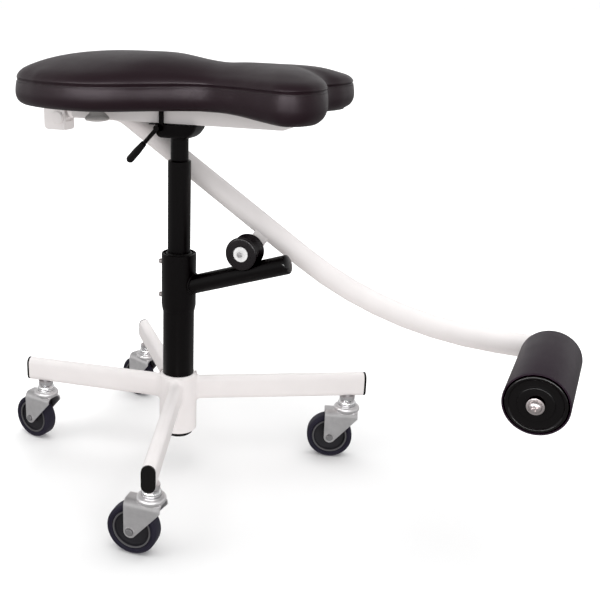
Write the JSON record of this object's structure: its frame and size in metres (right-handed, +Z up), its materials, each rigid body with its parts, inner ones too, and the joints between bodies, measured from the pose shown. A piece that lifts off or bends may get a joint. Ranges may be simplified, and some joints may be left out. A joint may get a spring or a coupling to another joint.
{
  "type": "leg lifter",
  "caption": "Height-adjustable padded rest on a wheeled column, with a long leg roller on a bent lever that a small roller guides along a sloping rail.",
  "frame": {"origin": "middle of the bounding box on the floor", "axes": "+X along the lever from the column towards the leg roller, +Y towards the lever tube's side of the column, +Z up"},
  "size_m": [0.8924, 0.5252, 0.6669],
  "materials": {
    "black_paint": "satin black powder coat",
    "white_paint": "semi-gloss white powder coat",
    "black_plastic": "satin black",
    "zinc": "zinc-plated, dull",
    "tyre_rubber": "matt grey-blue",
    "grey_plastic": "matt grey",
    "black_vinyl": "soft satin black",
    "bolt_steel": "bright plated",
    "white_nylon": "satin white",
    "dark_rubber": "matt dark grey",
    "board_black": "black stained plywood"
  },
  "bodies": {
    "base": {"base_hub": "white_paint", "hub_plug": "black_plastic", "arm_right": "white_paint", "arm_near": "white_paint", "arm_left": "white_paint", "arm_far": "white_paint", "arm_cap_right": "black_plastic", "arm_cap_near": "black_plastic", "arm_cap_left": "black_plastic", "arm_cap_far": "black_plastic", "castor_stem_right": "bolt_steel", "castor_stem_near": "bolt_steel", "castor_stem_left": "bolt_steel", "castor_stem_far": "bolt_steel", "outer_column": "black_paint", "column_foot": "black_plastic", "mid_column": "black_paint", "guide_bush": "black_plastic", "piston_rod": "bolt_steel", "rail_collar": "black_paint", "rail_cap": "black_plastic", "clamp_screw_1": "bolt_steel", "clamp_screw_2": "bolt_steel"},
    "castor_right": {"fork_right": "zinc", "wheel_bolt_right": "bolt_steel"},
    "wheel_right": {"wheel_core_right": "grey_plastic", "tyre_right": "tyre_rubber"},
    "castor_near": {"fork_near": "zinc", "wheel_bolt_near": "bolt_steel"},
    "wheel_near": {"wheel_core_near": "grey_plastic", "tyre_near": "tyre_rubber"},
    "castor_left": {"fork_left": "zinc", "wheel_bolt_left": "bolt_steel"},
    "wheel_left": {"wheel_core_left": "grey_plastic", "tyre_left": "tyre_rubber"},
    "castor_far": {"fork_far": "zinc", "wheel_bolt_far": "bolt_steel"},
    "wheel_far": {"wheel_core_far": "grey_plastic", "tyre_far": "tyre_rubber"},
    "pad": {"gas_cylinder": "black_paint", "lift_bracket": "black_paint", "seat_carrier": "white_paint", "rubber_buffer": "dark_rubber", "pad_board": "board_black", "pad_cushion": "black_vinyl", "hinge_bracket": "white_paint", "hinge_pin": "white_nylon"},
    "lever": {"lever_tube": "white_paint", "lever_cap": "black_plastic", "guide_tab": "white_paint", "guide_axle": "bolt_steel", "leg_roller_bolt": "bolt_steel"},
    "guide_wheel": {"guide_hub": "white_nylon", "guide_roller": "black_plastic"},
    "roller": {"leg_roller": "black_vinyl", "leg_roller_core": "black_plastic", "leg_roller_cap": "black_plastic"},
    "release": {"release_lever": "black_paint", "release_grip": "black_plastic"}
  },
  "joints": [
    {"name": "swivel_right", "type": "hinge", "parent": "base", "child": "castor_right", "pos_m": [0.09825, 0.17749, 0.1035], "axis": [0, 0, 1], "continuous": true},
    {"name": "spin_right", "type": "hinge", "parent": "castor_right", "child": "wheel_right", "pos_m": [0.07348, 0.16896, 0.0375], "axis": [-0.3256, 0.9455, 0], "continuous": true},
    {"name": "swivel_near", "type": "hinge", "parent": "base", "child": "castor_near", "pos_m": [-0.05112, -0.23291, 0.1035], "axis": [0, 0, 1], "continuous": true},
    {"name": "spin_near", "type": "hinge", "parent": "castor_near", "child": "wheel_near", "pos_m": [-0.07718, -0.23565, 0.0375], "axis": [-0.1045, 0.9945, 0], "continuous": true},
    {"name": "swivel_left", "type": "hinge", "parent": "base", "child": "castor_left", "pos_m": [-0.38209, -0.007, 0.1035], "axis": [0, 0, 1], "continuous": true},
    {"name": "spin_left", "type": "hinge", "parent": "castor_left", "child": "wheel_left", "pos_m": [-0.40803, -0.00335, 0.0375], "axis": [0.1392, 0.9903, 0], "continuous": true},
    {"name": "swivel_far", "type": "hinge", "parent": "base", "child": "castor_far", "pos_m": [-0.31147, 0.23015, 0.1035], "axis": [0, 0, 1], "continuous": true},
    {"name": "spin_far", "type": "hinge", "parent": "castor_far", "child": "wheel_far", "pos_m": [-0.33593, 0.23954, 0.0375], "axis": [0.3584, 0.9336, 0], "continuous": true},
    {"name": "height_slide", "type": "slide", "parent": "base", "child": "pad", "axis": [0, 0, 1], "range_m": [0, 0.05]},
    {"name": "lever_hinge", "type": "hinge", "parent": "pad", "child": "lever", "pos_m": [-0.38839, 0.07885, 0.5545], "axis": [0, 1, 0], "range_deg": [0, 11]},
    {"name": "guide_spin", "type": "hinge", "parent": "lever", "child": "guide_wheel", "pos_m": [-0.03352, 0.03385, 0.37425], "axis": [0, 1, 0], "continuous": true},
    {"name": "roller_spin", "type": "hinge", "parent": "lever", "child": "roller", "pos_m": [0.40691, -0.0294, 0.27693], "axis": [0, 1, 0], "continuous": true},
    {"name": "release_hinge", "type": "hinge", "parent": "pad", "child": "release", "pos_m": [-0.17059, 0.00765, 0.5562], "axis": [0, 1, 0], "range_deg": [0, 8], "stiffness_Nm_per_rad": 0.5}
  ],
  "couplings": [
    {"joint": "lever_hinge", "follows": "height_slide", "rad_per_m": 3.4153}
  ]
}
